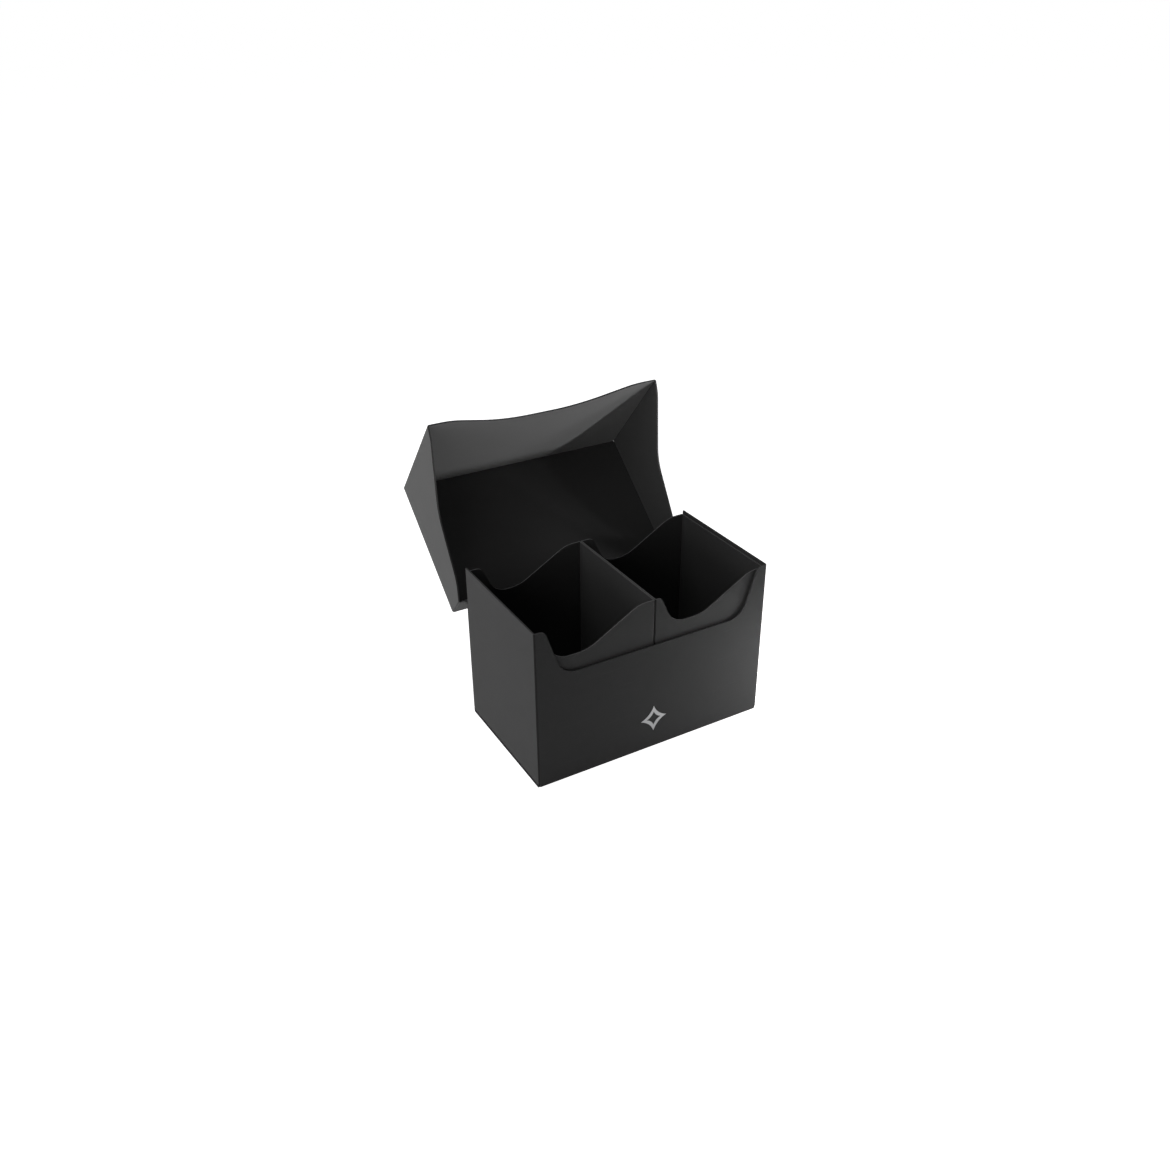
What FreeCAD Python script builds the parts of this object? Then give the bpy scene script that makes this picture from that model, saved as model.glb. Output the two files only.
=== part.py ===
import FreeCAD, Part
import math
import os

# Hinged-lid card box of folded polypropylene sheet, with two card wells side by side.
# Millimetres. X runs across the box, Y from front to back and Z up. The origin is the
# middle of the underside of the case. The lid and its hinge strip are drawn closed and then
# swung open about their creases.

# Thick sheet of the case, the hinge strip and the lid
sheet = 0.9
fold_inside = 0.2            # inside radius of a fold
crease_web = 0.3             # skin left under the V-score that makes a crease bend
crease_gap = 0.2             # bare line left where the score parts two panels

# Case
case_width = 143.7
case_depth = 81.4
case_height = 96.0
crease_height = 72.4         # underside to the lower crease, where the back wall ends
rear_trim = 0.2              # side panels stop this far in front of the closed lid's back
tab_reach = 16.0             # tabs folded in from the side panels over the floor
tab_setback = 2.0            # tabs stay this far from the front and back walls
tape_thickness = 0.15

# Cut-out of the case's front wall, which leaves an ear at each side
front_cut_depth = 28.9
ear_top = 6.2                # side face to the ear's slope, at the top
ear_foot = 15.75             # side face to the ear's slope, at the bottom
ear_top_radius = 8.0
ear_foot_radius = 12.0

# Card wells, of thinner sheet
well_sheet = 0.7
well_side_gap = 0.15         # well to the case's side panel
well_middle_gap = 0.2        # well to well
well_front_gap = 0.55        # well to the case's front wall
well_rim_drop = 2.0          # rims below the case's top
pad_thickness = 0.3          # foam pad that fixes a well to the back wall
pad_width = 44.0
pad_height = 22.0
pad_lift = 18.0              # underside of the case to the pad

# Wave cut into a well's front and back walls, measured from its left and right corners
wave_depth = 17.5
wave_back_shoulder = 4.0     # the back wall's fall starts this much farther in
wave_fall_top = 3.9
wave_fall_foot = 11.6
wave_rise_foot = 30.6
wave_rise_top = 9.5          # from the right corner
wave_fall_top_radius = 5.0
wave_fall_foot_radius = 12.0
wave_rise_foot_radius = 22.0
wave_rise_top_radius = 30.0

# Hinge strip and lid
strip_length = 9.6           # lower crease to upper crease
strip_inset = 0.6            # strip's ends in from the case's side faces
lid_side_gap = 0.5           # lid to the case's side panels
lid_front_gap = 1.25         # lid to the case's front wall, so that it swings clear of the ears
lid_back_height = 16.0       # upper crease to the lid's top

# Front flap: deep at its corners, with a shallow bow between them
flap_corner_depth = 72.6
flap_middle_depth = 60.8
bow_shoulder = 14.5          # lid's side face to the bow's slope, at the corner depth
bow_half_width = 23.4        # middle of the lid to the slope, at the middle depth
bow_shoulder_radius = 40.0
bow_middle_radius = 100.0

# Side flaps: an S-shaped free edge from the back panel to the front flap
flap_step_reach = 8.65       # back of the lid to the first bend, and its depth below the top
flap_step_depth = 25.1
flap_dip_reach = 36.5        # front of the lid to the second bend, and its depth
flap_dip_depth = 38.4
flap_crest_reach = 7.5       # front of the lid to the last bend, and its depth
flap_crest_depth = 69.0
flap_step_radius = 25.0
flap_dip_radius = 35.0
flap_crest_radius = 30.0

# Open pose, as turns from the closed box
strip_turn = 108.0
lid_turn = 31.2              # lid against the hinge strip

# Foil mark on the front wall: a plain diamond pip with hollow sides
mark_size = 16.5
mark_window = 9.0            # bare pip left inside the foil
mark_foil = 0.1
mark_height = 19.6           # underside of the case to the mark's middle
mark_waist = 0.27            # how far the sides' middles stand from the centre, per size

# Worked out from the sizes above
fold_outside = fold_inside + sheet
well_fold = fold_inside + well_sheet
score_depth = sheet - crease_web
half_width = case_width / 2
half_depth = case_depth / 2
side_bottom = sheet + tape_thickness
tab_top = side_bottom + sheet
well_width = half_width - sheet - well_side_gap - well_middle_gap / 2
well_front = -half_depth + sheet + well_front_gap
well_back = half_depth - sheet - pad_thickness
well_depth = well_back - well_front
well_height = case_height - well_rim_drop - tab_top
lid_half_width = half_width + lid_side_gap + sheet
lid_front = -half_depth - lid_front_gap - sheet
lid_depth = half_depth - lid_front
upper_crease_height = crease_height + strip_length
lid_top = upper_crease_height + lid_back_height

beyond = 5.0                 # cutting shapes reach this far past what they cut
longest_bend = 0.49          # a bend takes at most this share of a straight run beside it


def point(x, y, z):
    return FreeCAD.Vector(x, y, z)


def rounded_face(corners):
    # Flat face in XY. Each corner is (x, y, radius), and neighbours are joined by tangent arcs.
    spots = [point(x, y, 0) for x, y, _ in corners]
    bends = []
    for i, (_, _, radius) in enumerate(corners):
        here = spots[i]
        back = spots[i - 1] - here
        ahead = spots[(i + 1) % len(spots)] - here
        if radius == 0:
            bends.append((here, None, here))
            continue
        half_angle = back.getAngle(ahead) / 2
        room = longest_bend * min(back.Length, ahead.Length)
        reach = min(radius / math.tan(half_angle), room)
        back.normalize()
        ahead.normalize()
        inward = back + ahead
        inward.normalize()
        bow = reach / math.cos(half_angle) - reach * math.tan(half_angle)
        bends.append((here + back * reach, here + inward * bow, here + ahead * reach))
    edges = []
    for i, (start, middle, end) in enumerate(bends):
        if middle is not None:
            edges.append(Part.Arc(start, middle, end).toShape())
        following = bends[(i + 1) % len(bends)][0]
        if (following - end).Length > 1e-6:
            edges.append(Part.LineSegment(end, following).toShape())
    return Part.Face(Part.Wire(edges))


def prism_along_y(corners, start, length):
    # Corners are (x, z, radius).
    face = rounded_face([(x, z, radius) for x, z, radius in corners])
    face.rotate(point(0, 0, 0), point(1, 0, 0), 90)
    face.translate(point(0, start, 0))
    return face.extrude(point(0, length, 0))


def prism_along_x(corners, start, length):
    # Corners are (y, z, radius).
    face = rounded_face(corners)
    face.rotate(point(0, 0, 0), point(1, 1, 1), 120)
    face.translate(point(start, 0, 0))
    return face.extrude(point(length, 0, 0))


def block(low, high):
    size = high - low
    return Part.makeBox(size.x, size.y, size.z, low)


def mirrored(shape):
    return shape.mirror(point(0, 0, 0), point(1, 0, 0))


def folded_tray(width, depth, height, thickness, radius, open_at_top):
    # Sheet tray with rounded folds, open on one side: a box is rounded and then shelled.
    low = point(-width / 2, -depth / 2, 0)
    high = point(width / 2, depth / 2, height)
    box = block(low, high)
    open_z = height if open_at_top else 0
    folds = [e for e in box.Edges if e.BoundBox.ZLength > 1e-6 or abs(e.BoundBox.ZMin - open_z) > 1e-6]
    box = box.makeFillet(radius, folds)
    mouth = [f for f in box.Faces if f.BoundBox.ZLength < 1e-4 and abs(f.BoundBox.ZMin - open_z) < 1e-4]
    tray = box.makeThickness(mouth, -thickness, 1e-4)
    # Three folds meet at each closed corner, and a small square relief lets the flat sheet fold there.
    foot = -beyond if open_at_top else height - radius
    for x in (-width / 2 - beyond, width / 2 - radius):
        for y in (-depth / 2 - beyond, depth / 2 - radius):
            tray = tray.cut(Part.makeBox(beyond + radius, beyond + radius, beyond + radius, point(x, y, foot)))
    return tray


def case_strip():
    # Front wall, floor and back wall: one strip folded up at both ends.
    inner = half_depth - sheet
    outline = [
        (-half_depth, 0, fold_outside),
        (half_depth, 0, fold_outside),
        (half_depth, crease_height - crease_gap / 2, 0),
        (half_depth - crease_web, crease_height - crease_gap / 2, 0),
        (inner, crease_height - crease_gap / 2 - score_depth, 0),
        (inner, sheet, fold_inside),
        (-inner, sheet, fold_inside),
        (-inner, case_height, 0),
        (-half_depth, case_height, 0),
    ]
    strip = prism_along_x(outline, -half_width, case_width)
    # The front wall stops where it folds round into the side panels.
    relief = block(
        point(half_width - fold_outside, -half_depth - beyond, -beyond),
        point(half_width + beyond, -half_depth + fold_outside, case_height + beyond),
    )
    return strip.cut(relief).cut(mirrored(relief))


def left_side_panel():
    # Upright panel with its tab folded in over the floor, and the fold into the front wall.
    outer = -half_width
    inner = outer + sheet
    outline = [
        (outer, case_height, 0),
        (outer, side_bottom, fold_outside),
        (outer + tab_reach, side_bottom, 0),
        (outer + tab_reach, tab_top, 0),
        (inner, tab_top, fold_inside),
        (inner, case_height, 0),
    ]
    fold_start = -half_depth + fold_outside
    panel = prism_along_y(outline, fold_start, half_depth - fold_start)
    tab_end = half_depth - sheet - tab_setback
    spare = block(point(inner, tab_end, 0), point(outer + tab_reach + beyond, half_depth + beyond, tab_top))
    spare_front = block(
        point(inner, fold_start - beyond, 0),
        point(outer + tab_reach + beyond, fold_start + tab_setback, tab_top),
    )
    # Above the crease the panel is trimmed back to let the closed lid's back pass behind it.
    trim = block(
        point(outer - beyond, half_depth - sheet - rear_trim, crease_height - crease_gap / 2),
        point(inner + beyond, half_depth + beyond, case_height + beyond),
    )
    panel = panel.cut(spare).cut(spare_front).cut(trim)
    fold_foot = side_bottom + fold_outside
    centre = point(outer + fold_outside, fold_start, fold_foot)
    height = case_height - fold_foot
    quarter = Part.makeCylinder(fold_outside, height, centre, point(0, 0, 1), 90)
    hollow = Part.makeCylinder(fold_inside, height, centre, point(0, 0, 1), 90)
    fold = quarter.cut(hollow)
    fold.rotate(centre, point(0, 0, 1), 180)
    return panel.fuse(fold)


def front_cut():
    # What is taken out of the case's front wall between its two ears.
    bottom = case_height - front_cut_depth
    top = half_width - ear_top
    foot = half_width - ear_foot
    outline = [
        (-half_width, case_height, 0),
        (-top, case_height, ear_top_radius),
        (-foot, bottom, ear_foot_radius),
        (foot, bottom, ear_foot_radius),
        (top, case_height, ear_top_radius),
        (half_width, case_height, 0),
        (half_width, case_height + beyond, 0),
        (-half_width, case_height + beyond, 0),
    ]
    return prism_along_y(outline, -half_depth - beyond, beyond + sheet + fold_inside)


def case_sheet():
    left = left_side_panel()
    return case_strip().fuse([left, mirrored(left)]).cut(front_cut()).removeSplitter()


def wave_cut(shoulder, start, length):
    # What the wave takes off one wall of a well, along Y.
    low = well_height - wave_depth
    wave = [
        (0, well_height, 0),
        (wave_fall_top + shoulder, well_height, wave_fall_top_radius),
        (wave_fall_foot + shoulder, low, wave_fall_foot_radius),
        (wave_rise_foot, low, wave_rise_foot_radius),
        (well_width - wave_rise_top, well_height, wave_rise_top_radius),
        (well_width, well_height, 0),
        (well_width, well_height + beyond, 0),
        (0, well_height + beyond, 0),
    ]
    return prism_along_y(wave, start, length)


def well():
    # Card well with its left outer corner at x = 0, y = 0 and its underside at z = 0.
    tray = folded_tray(well_width, well_depth, well_height, well_sheet, well_fold, True)
    tray.translate(point(well_width / 2, well_depth / 2, 0))
    front = wave_cut(0, -beyond, beyond + well_depth / 2)
    back = wave_cut(wave_back_shoulder, well_depth / 2, well_depth / 2 + beyond)
    return tray.cut(front).cut(back)


def hinge_strip():
    # Band between the two creases, scored on the inside along both edges.
    inner = half_depth - sheet
    low = crease_height + crease_gap / 2
    high = upper_crease_height - crease_gap / 2
    outline = [
        (half_depth, low, 0),
        (half_depth, high, 0),
        (half_depth - crease_web, high, 0),
        (inner, high - score_depth, 0),
        (inner, low + score_depth, 0),
        (half_depth - crease_web, low, 0),
    ]
    reach = half_width - strip_inset
    return prism_along_x(outline, -reach, 2 * reach)


def side_flap_waste():
    # Everything below the free edge of the lid's side flaps and back panel.
    floor = lid_top - flap_corner_depth
    outline = [
        (half_depth + beyond, upper_crease_height, 0),
        (half_depth, upper_crease_height, 0),
        (half_depth - flap_step_reach, lid_top - flap_step_depth, flap_step_radius),
        (lid_front + flap_dip_reach, lid_top - flap_dip_depth, flap_dip_radius),
        (lid_front + flap_crest_reach, lid_top - flap_crest_depth, flap_crest_radius),
        (lid_front + fold_outside, floor, 0),
        (lid_front + fold_outside, floor - beyond, 0),
        (half_depth + beyond, floor - beyond, 0),
    ]
    reach = lid_half_width + beyond
    return prism_along_x(outline, -reach, 2 * reach)


def front_flap_waste():
    # The bow cut into the free edge of the front flap.
    corner = lid_top - flap_corner_depth
    middle = lid_top - flap_middle_depth
    shoulder = lid_half_width - bow_shoulder
    outline = [
        (-lid_half_width, corner, 0),
        (-shoulder, corner, bow_shoulder_radius),
        (-bow_half_width, middle, bow_middle_radius),
        (bow_half_width, middle, bow_middle_radius),
        (shoulder, corner, bow_shoulder_radius),
        (lid_half_width, corner, 0),
        (lid_half_width, corner - beyond, 0),
        (-lid_half_width, corner - beyond, 0),
    ]
    return prism_along_y(outline, lid_front - beyond, beyond + fold_outside)


def back_edge_waste():
    # Levels the lid's back panel at the upper crease and bevels its inner edge.
    inner = half_depth - sheet
    edge = upper_crease_height + crease_gap / 2
    outline = [
        (inner, edge - beyond, 0),
        (half_depth + beyond, edge - beyond, 0),
        (half_depth + beyond, edge, 0),
        (half_depth - crease_web, edge, 0),
        (inner, edge + score_depth, 0),
    ]
    reach = lid_half_width - sheet
    return prism_along_x(outline, -reach, 2 * reach)


def lid_sheet():
    tray = folded_tray(2 * lid_half_width, lid_depth, flap_corner_depth, sheet, fold_outside, False)
    tray.translate(point(0, (half_depth + lid_front) / 2, lid_top - flap_corner_depth))
    return tray.cut(side_flap_waste()).cut(front_flap_waste()).cut(back_edge_waste())


def left_tab_tape():
    # Adhesive film that holds the left tab down on the floor.
    low = point(-half_width + fold_outside, -half_depth + fold_outside + tab_setback, sheet)
    high = point(-half_width + tab_reach, half_depth - sheet - tab_setback, side_bottom)
    return block(low, high)


def well_pad(middle):
    # Foam pad between a well's back wall and the case's back wall.
    low = point(middle - pad_width / 2, well_back, pad_lift)
    high = point(middle + pad_width / 2, well_back + pad_thickness, pad_lift + pad_height)
    return block(low, high)


def pip_face(size):
    # Diamond with four tips and sides that curve inward.
    tip = size / 2
    waist = size * mark_waist / math.sqrt(2)
    edges = []
    for quarter in range(4):
        turn = math.radians(90 * quarter)
        spots = []
        for a, b in ((tip, 0), (waist, waist), (0, tip)):
            x = a * math.cos(turn) - b * math.sin(turn)
            z = a * math.sin(turn) + b * math.cos(turn)
            spots.append(point(x, 0, z))
        edges.append(Part.Arc(*spots).toShape())
    return Part.Face(Part.Wire(edges))


def foil_mark():
    ring = pip_face(mark_size).extrude(point(0, -mark_foil, 0))
    window = pip_face(mark_window)
    window.translate(point(0, beyond, 0))
    ring = ring.cut(window.extrude(point(0, -2 * beyond, 0)))
    ring.translate(point(0, -half_depth, mark_height))
    return ring


def opened(shape, moves_with_lid):
    # Swings a closed shape to the open pose, about the upper crease and then the lower one.
    opening = point(-1, 0, 0)
    if moves_with_lid:
        shape.rotate(point(0, half_depth, upper_crease_height), opening, lid_turn)
    shape.rotate(point(0, half_depth, crease_height), opening, strip_turn)
    return shape


def build():
    left_well = well()
    left_well.translate(point(-well_middle_gap / 2 - well_width, well_front, tab_top))
    right_well = well()
    right_well.translate(point(well_middle_gap / 2, well_front, tab_top))
    well_middle = (well_middle_gap + well_width) / 2
    return {
        "case_sheet": case_sheet(),
        "tab_tape_left": left_tab_tape(),
        "tab_tape_right": mirrored(left_tab_tape()),
        "well_left": left_well,
        "well_right": right_well,
        "well_pad_left": well_pad(-well_middle),
        "well_pad_right": well_pad(well_middle),
        "foil_mark": foil_mark(),
        "hinge_strip": opened(hinge_strip(), False),
        "lid_sheet": opened(lid_sheet(), True),
    }


os.makedirs("parts", exist_ok=True)
for name, shape in build().items():
    shape.exportStep("parts/" + name + ".step")
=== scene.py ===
import math

import bmesh
import bpy
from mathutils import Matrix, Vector

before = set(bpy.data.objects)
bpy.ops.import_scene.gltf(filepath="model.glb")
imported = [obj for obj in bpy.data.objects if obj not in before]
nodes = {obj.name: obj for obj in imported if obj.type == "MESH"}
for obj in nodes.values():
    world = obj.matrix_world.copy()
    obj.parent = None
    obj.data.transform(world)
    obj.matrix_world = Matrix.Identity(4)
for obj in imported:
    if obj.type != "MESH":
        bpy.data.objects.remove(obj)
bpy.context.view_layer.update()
print("card box: frame loaded with", len(nodes), "nodes")

# Camera
cameraChoices = {
    "place": (-0.2753, -0.4501, 0.3796),
    "turn": (60.746, 0.468, -29.868),  # degrees
    "lens": 33.773,  # millimetres, as the sensor's width is
    "sensor": 36.0,
    "nearest": 0.01,  # what it sees, in metres
    "farthest": 50.0,
}


def makeCamera(choices):
    camera = bpy.data.objects.new("camera", bpy.data.cameras.new("camera"))
    camera.data.sensor_fit = "HORIZONTAL"
    camera.data.sensor_width = choices["sensor"]
    camera.data.lens = choices["lens"]
    camera.data.clip_start = choices["nearest"]
    camera.data.clip_end = choices["farthest"]
    camera.location = choices["place"]
    camera.rotation_euler = [math.radians(a) for a in choices["turn"]]
    bpy.context.scene.collection.objects.link(camera)
    bpy.context.scene.camera = camera


makeCamera(cameraChoices)
print("card box: camera set")


# Small helpers for node trees
def newGroup(name, inputs, outputs):
    group = bpy.data.node_groups.new(name, "ShaderNodeTree")
    for label, kind in inputs:
        group.interface.new_socket(name=label, in_out="INPUT", socket_type=kind)
    for label, kind in outputs:
        group.interface.new_socket(name=label, in_out="OUTPUT", socket_type=kind)
    start = group.nodes.new("NodeGroupInput")
    end = group.nodes.new("NodeGroupOutput")
    return group, start, end


def addNode(tree, kind, **settings):
    node = tree.nodes.new(kind)
    for name, value in settings.items():
        if name in node.inputs:
            node.inputs[name].default_value = value
        else:
            setattr(node, name, value)
    return node


def addMath(tree, operation, first, second=None):
    node = tree.nodes.new("ShaderNodeMath")
    node.operation = operation
    for slot, value in enumerate((first, second)):
        if value is None:
            continue
        if isinstance(value, (int, float)):
            node.inputs[slot].default_value = value
        else:
            tree.links.new(value, node.inputs[slot])
    return node.outputs[0]


def smoothStep(tree, value, low, high):
    node = tree.nodes.new("ShaderNodeMapRange")
    node.interpolation_type = "SMOOTHSTEP"
    tree.links.new(value, node.inputs["Value"])
    node.inputs["From Min"].default_value = low
    node.inputs["From Max"].default_value = high
    return node.outputs["Result"]


# Fine grain of extruded polypropylene sheet: height for bump and a roughness that varies
grainChoices = {
    "grain": {"Detail": 2.0, "Roughness": 0.55},
    "clouds": {"Scale": 28.0, "Detail": 3.0, "Roughness": 0.5},  # where it is rougher or smoother
    "cloudMiddle": 0.5,
    "cloudStretch": 2.0,
}


def makeSheetGrain(choices):
    group, start, end = newGroup(
        "sheetGrain",
        [
            ("Grain Size", "NodeSocketFloat"),
            ("Roughness", "NodeSocketFloat"),
            ("Spread", "NodeSocketFloat"),
        ],
        [("Height", "NodeSocketFloat"), ("Roughness", "NodeSocketFloat")],
    )
    place = addNode(group, "ShaderNodeTexCoord")
    scale = addMath(group, "DIVIDE", 1.0, start.outputs["Grain Size"])
    grain = addNode(group, "ShaderNodeTexNoise", **choices["grain"])
    group.links.new(place.outputs["Object"], grain.inputs["Vector"])
    group.links.new(scale, grain.inputs["Scale"])
    clouds = addNode(group, "ShaderNodeTexNoise", **choices["clouds"])
    group.links.new(place.outputs["Object"], clouds.inputs["Vector"])
    centred = addMath(group, "SUBTRACT", clouds.outputs["Fac"], choices["cloudMiddle"])
    swing = addMath(group, "MULTIPLY", centred, start.outputs["Spread"])
    swing = addMath(group, "MULTIPLY", swing, choices["cloudStretch"])
    roughness = addMath(group, "ADD", start.outputs["Roughness"], swing)
    group.links.new(grain.outputs["Fac"], end.inputs["Height"])
    group.links.new(roughness, end.inputs["Roughness"])
    return group


# Where the sheet was die-cut: faces that look along an axis, past a distance on it
cutEdgeChoices = {"turnFrom": 0.12, "turnTo": 0.3}  # cosines of the angle from face to axis


def makeCutEdge(choices):
    group, start, end = newGroup(
        "cutEdge",
        [("Axis", "NodeSocketVector"), ("Start", "NodeSocketFloat")],
        [("Mask", "NodeSocketFloat")],
    )
    place = addNode(group, "ShaderNodeTexCoord")
    facing = addNode(group, "ShaderNodeVectorMath", operation="DOT_PRODUCT")
    group.links.new(place.outputs["Normal"], facing.inputs[0])
    group.links.new(start.outputs["Axis"], facing.inputs[1])
    along = addNode(group, "ShaderNodeVectorMath", operation="DOT_PRODUCT")
    group.links.new(place.outputs["Object"], along.inputs[0])
    group.links.new(start.outputs["Axis"], along.inputs[1])
    looks = smoothStep(
        group, facing.outputs["Value"], choices["turnFrom"], choices["turnTo"]
    )
    past = addMath(group, "GREATER_THAN", along.outputs["Value"], start.outputs["Start"])
    group.links.new(addMath(group, "MULTIPLY", looks, past), end.inputs["Mask"])
    return group


# Where the sheet bends, between faces that look along three axes: painted shade along the fold's
# crease, and its stretched skin's smoother roughness
foldSkinAndShadeChoices = {"bendFrom": 0.01, "bendTo": 0.1}  # one less the nearest axis's cosine
sideways = (1.0, 0.0, 0.0)


def makeFoldSkinAndShade(choices):
    group, start, end = newGroup(
        "foldSkinAndShade",
        [("Up", "NodeSocketVector"), ("Ahead", "NodeSocketVector")],
        [("Mask", "NodeSocketFloat")],
    )
    place = addNode(group, "ShaderNodeTexCoord")
    flattest = None
    for axis in (sideways, start.outputs["Up"], start.outputs["Ahead"]):
        facing = addNode(group, "ShaderNodeVectorMath", operation="DOT_PRODUCT")
        group.links.new(place.outputs["Normal"], facing.inputs[0])
        if isinstance(axis, tuple):
            facing.inputs[1].default_value = axis
        else:
            group.links.new(axis, facing.inputs[1])
        size = addMath(group, "ABSOLUTE", facing.outputs["Value"])
        flattest = size if flattest is None else addMath(group, "MAXIMUM", flattest, size)
    bent = addMath(group, "SUBTRACT", 1.0, flattest)
    skinAndShade = smoothStep(group, bent, choices["bendFrom"], choices["bendTo"])
    group.links.new(skinAndShade, end.inputs["Mask"])
    return group


# Faint rub marks and hairline scratches from sliding cards and hands
handlingChoices = {
    "rubs": {"Scale": 14.0, "Detail": 5.0, "Roughness": 0.62},
    "rubFrom": 0.48,
    "rubTo": 0.75,
    "scratchTurn": (0.3, 0.5, 0.2),  # radians
    "scratchStretch": (60.0, 60.0, 2600.0),
    "scratches": {"Scale": 1.0, "Detail": 1.0},
    "scratchFrom": 0.66,
    "scratchTo": 0.72,
}


def makeHandling(choices):
    group, start, end = newGroup(
        "handling",
        [("Amount", "NodeSocketFloat")],
        [("Rub", "NodeSocketFloat"), ("Scratch", "NodeSocketFloat")],
    )
    place = addNode(group, "ShaderNodeTexCoord")
    rub = addNode(group, "ShaderNodeTexNoise", **choices["rubs"])
    group.links.new(place.outputs["Object"], rub.inputs["Vector"])
    rubbed = smoothStep(group, rub.outputs["Fac"], choices["rubFrom"], choices["rubTo"])
    stretch = addNode(
        group,
        "ShaderNodeMapping",
        Rotation=choices["scratchTurn"],
        Scale=choices["scratchStretch"],
    )
    group.links.new(place.outputs["Object"], stretch.inputs["Vector"])
    lines = addNode(group, "ShaderNodeTexNoise", **choices["scratches"])
    group.links.new(stretch.outputs["Vector"], lines.inputs["Vector"])
    scratched = smoothStep(
        group, lines.outputs["Fac"], choices["scratchFrom"], choices["scratchTo"]
    )
    for name, mask in (("Rub", rubbed), ("Scratch", scratched)):
        amount = addMath(group, "MULTIPLY", mask, start.outputs["Amount"])
        group.links.new(amount, end.inputs[name])
    return group


sheetGrain = makeSheetGrain(grainChoices)
cutEdge = makeCutEdge(cutEdgeChoices)
foldSkinAndShade = makeFoldSkinAndShade(foldSkinAndShadeChoices)
handling = makeHandling(handlingChoices)
print("card box: shared finishes built")


def useGroup(tree, group, **values):
    node = tree.nodes.new("ShaderNodeGroup")
    node.node_tree = group
    for name, value in values.items():
        node.inputs[name.replace("_", " ")].default_value = value
    return node


def blankMaterial(name):
    material = bpy.data.materials.new(name)
    material.use_nodes = True
    tree = material.node_tree
    tree.nodes.clear()
    output = tree.nodes.new("ShaderNodeOutputMaterial")
    shader = tree.nodes.new("ShaderNodeBsdfPrincipled")
    tree.links.new(shader.outputs["BSDF"], output.inputs["Surface"])
    return material, tree, shader


def mixColour(tree, mask, first, second):
    node = tree.nodes.new("ShaderNodeMix")
    node.data_type = "RGBA"
    tree.links.new(mask, node.inputs["Factor"])
    for label, value in (("A", first), ("B", second)):
        socket = next(s for s in node.inputs if s.name == label and s.type == "RGBA")
        if isinstance(value, tuple):
            socket.default_value = value
        else:
            tree.links.new(value, socket)
    return next(s for s in node.outputs if s.type == "RGBA")


def addGrain(tree, shader, choices):
    grain = useGroup(
        tree,
        sheetGrain,
        Grain_Size=choices["grainSize"],
        Roughness=choices["roughness"],
        Spread=choices["roughnessSpread"],
    )
    bump = addNode(
        tree,
        "ShaderNodeBump",
        Strength=choices["grainStrength"],
        Distance=choices["grainDepth"],
    )
    tree.links.new(grain.outputs["Height"], bump.inputs["Height"])
    tree.links.new(bump.outputs["Normal"], shader.inputs["Normal"])
    return grain


def makeSheetPlastic(name, choices):
    material, tree, shader = blankMaterial(name)
    grain = addGrain(tree, shader, choices)
    edge = useGroup(tree, cutEdge, Axis=choices["edgeAxis"], Start=choices["edgeStart"])
    wear = useGroup(tree, handling, Amount=choices["wear"])
    colour = mixColour(tree, wear.outputs["Rub"], choices["colour"], choices["rubbedColour"])
    colour = mixColour(tree, wear.outputs["Scratch"], colour, choices["scratchColour"])
    # Folds get a painted shade, a near-black colour along the crease, and a smoother stretched
    # skin
    fold = useGroup(tree, foldSkinAndShade, Up=choices["up"], Ahead=choices["ahead"])
    uncut = addMath(tree, "SUBTRACT", 1.0, edge.outputs["Mask"])
    bent = addMath(tree, "MULTIPLY", fold.outputs["Mask"], uncut)
    colour = mixColour(tree, bent, colour, choices["foldShadeColour"])
    # Die-cut edges: partly the paler cut face, partly painted highlight, and painted shade on the
    # lid's edges
    colour = mixColour(tree, edge.outputs["Mask"], colour, choices["edgeColourAndPaintedLight"])
    tree.links.new(colour, shader.inputs["Base Color"])
    rough = addMath(tree, "MULTIPLY", edge.outputs["Mask"], choices["edgeRoughness"])
    smoother = addMath(tree, "MULTIPLY", bent, choices["foldRoughness"])
    rough = addMath(tree, "ADD", rough, smoother)
    rough = addMath(tree, "ADD", rough, grain.outputs["Roughness"])
    tree.links.new(rough, shader.inputs["Roughness"])
    shader.inputs["IOR"].default_value = choices["ior"]
    shader.inputs["Sheen Weight"].default_value = choices["sheen"]
    shader.inputs["Sheen Roughness"].default_value = choices["sheenRoughness"]
    return material


# How far each sheet is swung open about its creases, from the closed box
stripOpening = math.radians(108.0)
lidOpening = math.radians(139.2)


# Where a closed sheet's up and ahead point once it is swung open
def swungUp(opening):
    return (0.0, math.sin(opening), math.cos(opening))


def swungAhead(opening):
    return (0.0, math.cos(opening), -math.sin(opening))


# Where the lid's die-cut edges look: down on the closed box
lidDown = tuple(-part for part in swungUp(lidOpening))

casePlastic = {
    "colour": (0.0215, 0.0215, 0.022, 1.0),
    "rubbedColour": (0.025, 0.025, 0.0255, 1.0),
    "scratchColour": (0.031, 0.031, 0.031, 1.0),
    # the die-cut face, paler than the sheet, with some painted highlight
    "edgeColourAndPaintedLight": (0.04, 0.04, 0.041, 1.0),
    "edgeRoughness": 0.15,
    # painted shade along the folds
    "foldShadeColour": (0.0005, 0.0005, 0.0005, 1.0),
    "foldRoughness": -0.25,
    "roughness": 0.45,
    "roughnessSpread": 0.04,
    "grainSize": 0.00035,
    "grainStrength": 0.25,
    "grainDepth": 0.00002,
    "wear": 0.6,
    "ior": 1.35,
    "sheen": 0.12,
    "sheenRoughness": 0.6,
    "up": (0.0, 0.0, 1.0),
    "ahead": (0.0, 1.0, 0.0),
    "edgeAxis": (0.0, 0.0, 1.0),
    "edgeStart": 0.01,
}
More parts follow.
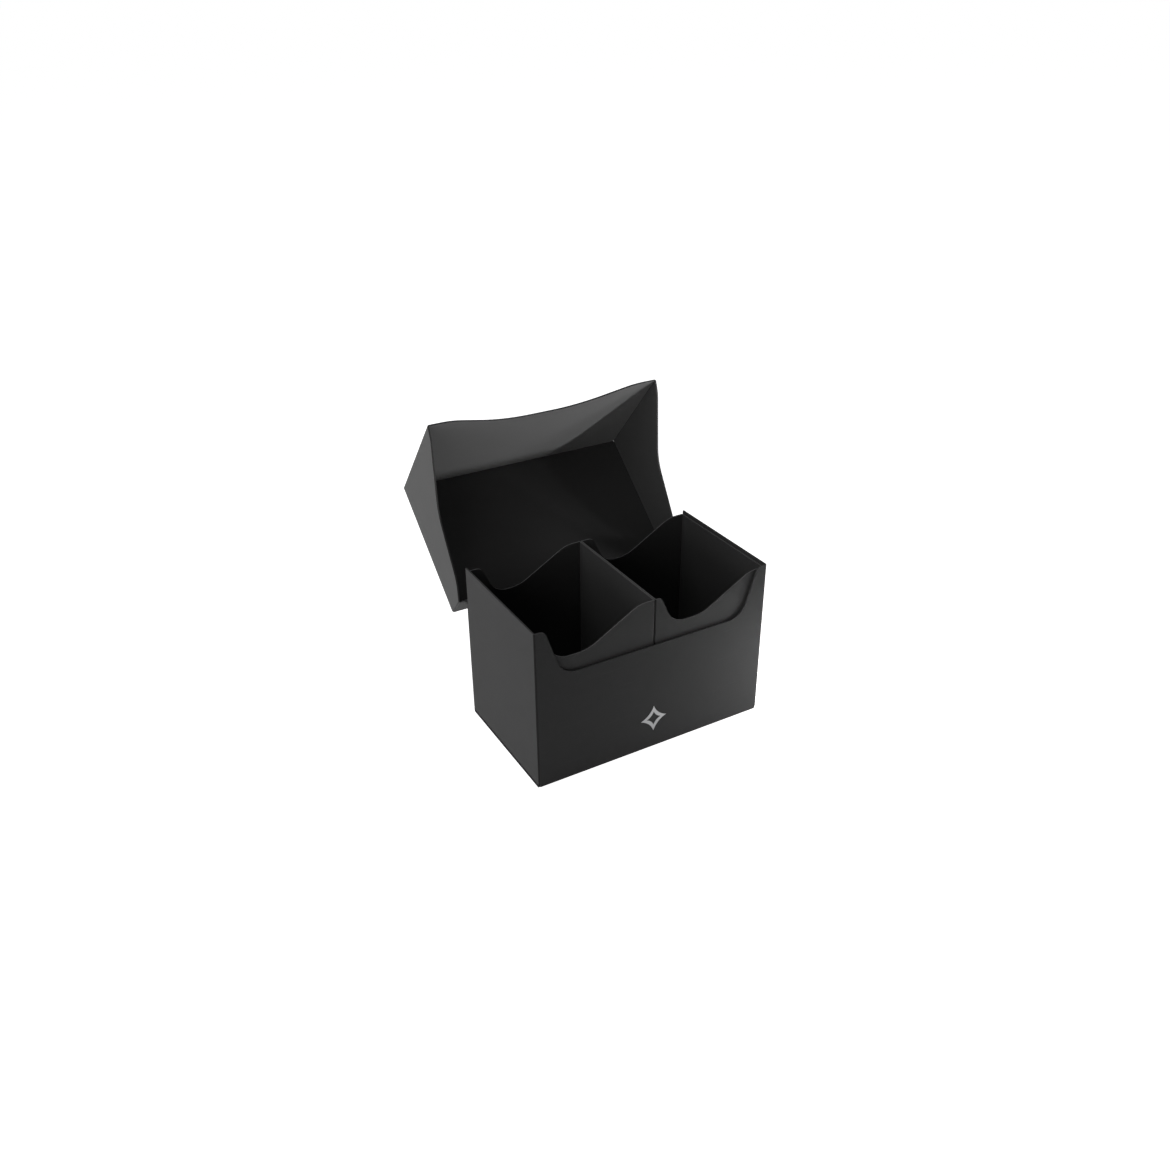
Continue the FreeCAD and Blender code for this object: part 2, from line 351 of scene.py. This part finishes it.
wellPlastic = dict(
    casePlastic,
    colour=(0.0092, 0.0092, 0.0094, 1.0),
    rubbedColour=(0.0118, 0.0118, 0.012, 1.0),
    scratchColour=(0.016, 0.016, 0.016, 1.0),
    # painted highlight: the wells' die-cut rims are much lighter than the case's
    edgeColourAndPaintedLight=(0.09, 0.09, 0.092, 1.0),
    sheen=0.25,
)
stripPlastic = dict(
    casePlastic,
    up=swungUp(stripOpening),
    ahead=swungAhead(stripOpening),
    edgeStart=1.0,  # farther than the strip reaches, so none of it is a die-cut edge
)
lidPlastic = dict(
    wellPlastic,
    up=lidDown,
    ahead=swungAhead(lidOpening),
    edgeAxis=lidDown,
    edgeStart=0.012,
    # painted shade: the lid's die-cut edges are darker than the sheet itself
    edgeColourAndPaintedLight=(0.003, 0.003, 0.003, 1.0),
    sheen=0.4,
)

caseMaterial = makeSheetPlastic("casePlastic", casePlastic)
stripMaterial = makeSheetPlastic("stripPlastic", stripPlastic)
wellMaterial = makeSheetPlastic("wellPlastic", wellPlastic)
lidMaterial = makeSheetPlastic("lidPlastic", lidPlastic)


def makeFilm(name, choices):
    material, tree, shader = blankMaterial(name)
    grain = addGrain(tree, shader, choices)
    clouds = addNode(
        tree, "ShaderNodeTexNoise", Scale=choices["cloudScale"], Detail=choices["cloudDetail"]
    )
    place = addNode(tree, "ShaderNodeTexCoord")
    tree.links.new(place.outputs["Object"], clouds.inputs["Vector"])
    colour = mixColour(tree, clouds.outputs["Fac"], choices["colour"], choices["paleColour"])
    tree.links.new(colour, shader.inputs["Base Color"])
    tree.links.new(grain.outputs["Roughness"], shader.inputs["Roughness"])
    shader.inputs["Metallic"].default_value = choices["metallic"]
    return material


tapeFilm = {
    "colour": (0.55, 0.5, 0.38, 1.0),
    "paleColour": (0.68, 0.64, 0.52, 1.0),
    "cloudScale": 90.0,
    "cloudDetail": 3.0,
    "roughness": 0.3,
    "roughnessSpread": 0.05,
    "grainSize": 0.001,
    "grainStrength": 0.2,
    "grainDepth": 0.00002,
    "metallic": 0.0,
}
padFoam = dict(
    tapeFilm,
    colour=(0.02, 0.02, 0.021, 1.0),
    paleColour=(0.05, 0.05, 0.05, 1.0),
    roughness=0.85,
    grainSize=0.0008,
    grainStrength=0.7,
    grainDepth=0.0002,
)
silverFoil = dict(
    tapeFilm,
    colour=(0.62, 0.62, 0.63, 1.0),
    paleColour=(0.86, 0.86, 0.87, 1.0),
    cloudScale=160.0,
    roughness=0.32,
    roughnessSpread=0.08,
    grainSize=0.0004,
    grainStrength=0.3,
    grainDepth=0.00002,
    metallic=1.0,
)
tapeMaterial = makeFilm("tapeFilm", tapeFilm)
padMaterial = makeFilm("padFoam", padFoam)
foilMaterial = makeFilm("silverFoil", silverFoil)

finishes = {
    "case_sheet": caseMaterial,
    "hinge_strip": stripMaterial,
    "lid_sheet": lidMaterial,
    "well_left": wellMaterial,
    "well_right": wellMaterial,
    "tab_tape_left": tapeMaterial,
    "tab_tape_right": tapeMaterial,
    "well_pad_left": padMaterial,
    "well_pad_right": padMaterial,
    "foil_mark": foilMaterial,
}
for name, material in finishes.items():
    for slot in nodes[name].material_slots:
        slot.link = "OBJECT"
        slot.material = material
print("card box: finishes on the sheets")

# Studio: a white floor, soft boxes on the left, overhead and behind, and small lamps on the right
studioChoices = {
    "floorColour": (0.9, 0.9, 0.9, 1.0),
    "floorRoughness": 0.9,
    "floorSize": 120.0,  # metres
    "floorCells": 12,
    "glowColour": (1.0, 1.0, 1.0, 1.0),
    "glow": 1.0,  # only where the floor is looked at, so that it doesn't light the box
}


def glowWhereLooked(tree, choices):
    looked = tree.nodes.new("ShaderNodeLightPath").outputs["Is Camera Ray"]
    return addMath(tree, "MULTIPLY", looked, choices["glow"])


def makeFloor(choices):
    mesh = bpy.data.meshes.new("floor")
    shape = bmesh.new()
    cells = choices["floorCells"]
    half = choices["floorSize"] / 2
    bmesh.ops.create_grid(shape, x_segments=cells, y_segments=cells, size=half)
    shape.to_mesh(mesh)
    shape.free()
    floor = bpy.data.objects.new("floor", mesh)
    bpy.context.scene.collection.objects.link(floor)
    material, tree, shader = blankMaterial("paleFloor")
    shader.inputs["Base Color"].default_value = choices["floorColour"]
    shader.inputs["Roughness"].default_value = choices["floorRoughness"]
    shader.inputs["Emission Color"].default_value = choices["glowColour"]
    tree.links.new(glowWhereLooked(tree, choices), shader.inputs["Emission Strength"])
    mesh.materials.append(material)


def makeBackdrop(choices):
    world = bpy.data.worlds.new("backdrop")
    bpy.context.scene.world = world
    world.use_nodes = True
    tree = world.node_tree
    background = next(n for n in tree.nodes if n.type == "BACKGROUND")
    background.inputs["Color"].default_value = choices["glowColour"]
    tree.links.new(glowWhereLooked(tree, choices), background.inputs["Strength"])


def setLamp(name, lamp, place, turn):
    lampObject = bpy.data.objects.new(name, lamp)
    lampObject.location = place
    lampObject.rotation_euler = turn
    lampObject.visible_camera = False  # the small lamps stand inside the frame
    bpy.context.scene.collection.objects.link(lampObject)


def makeSoftBox(name, place, target, width, height, power):
    lamp = bpy.data.lights.new(name, "AREA")
    lamp.shape = "RECTANGLE"
    lamp.size = width
    lamp.size_y = height
    lamp.energy = power
    towards = Vector(target) - Vector(place)
    setLamp(name, lamp, place, towards.to_track_quat("-Z", "Y").to_euler())


def makeUplighter(choices):
    lamp = bpy.data.lights.new("uplighter", "SPOT")
    lamp.spot_size = math.radians(choices["angle"])
    lamp.spot_blend = choices["blend"]
    lamp.shadow_soft_size = choices["radius"]
    lamp.energy = choices["power"]
    turn = (math.pi + math.radians(choices["lean"]), 0.0, 0.0)
    setLamp("uplighter", lamp, choices["place"], turn)


makeFloor(studioChoices)
makeBackdrop(studioChoices)
boxTarget = (0.0, 0.03, 0.08)
belowCorner = (0.15, -0.07, 0.0)
softBoxes = {  # place, target, width and height in metres, then watts
    "frontLeft": ((-0.823, -0.475, 0.32), boxTarget, 0.7, 0.8, 1.99),
    "left": ((-0.946, -0.083, 0.4), boxTarget, 0.6, 0.6, 1.1),
    "lowLeft": ((-0.946, 0.083, 0.16), boxTarget, 1.0, 0.35, 2.48),
    "overhead": ((-0.282, 0.103, 1.5), boxTarget, 1.4, 1.4, 3.16),
    "back": ((-0.3, 1.1, 0.6), boxTarget, 1.0, 0.8, 3.84),
    "highRight": ((0.22, -0.02, 0.14), boxTarget, 0.035, 0.035, 0.1),
    "closeRight": ((0.189, -0.069, 0.075), boxTarget, 0.01, 0.015, 0.057),
    "nearCorner": ((0.15, -0.07, 0.085), belowCorner, 0.01, 0.01, 0.16),
}
for name, (place, target, width, height, power) in softBoxes.items():
    makeSoftBox(name, place, target, width, height, power)

# Lights only what stands above the case, such as the open lid's front flap
uplighterChoices = {
    "place": (0.3, -0.192, 0.088),
    "lean": 4.36,  # degrees from straight up, towards the front
    "angle": 179.0,
    "blend": 0.004,
    "radius": 0.005,
    "power": 3.7,
}
makeUplighter(uplighterChoices)
bpy.context.scene.view_settings.view_transform = "Standard"
print("card box: studio lit")
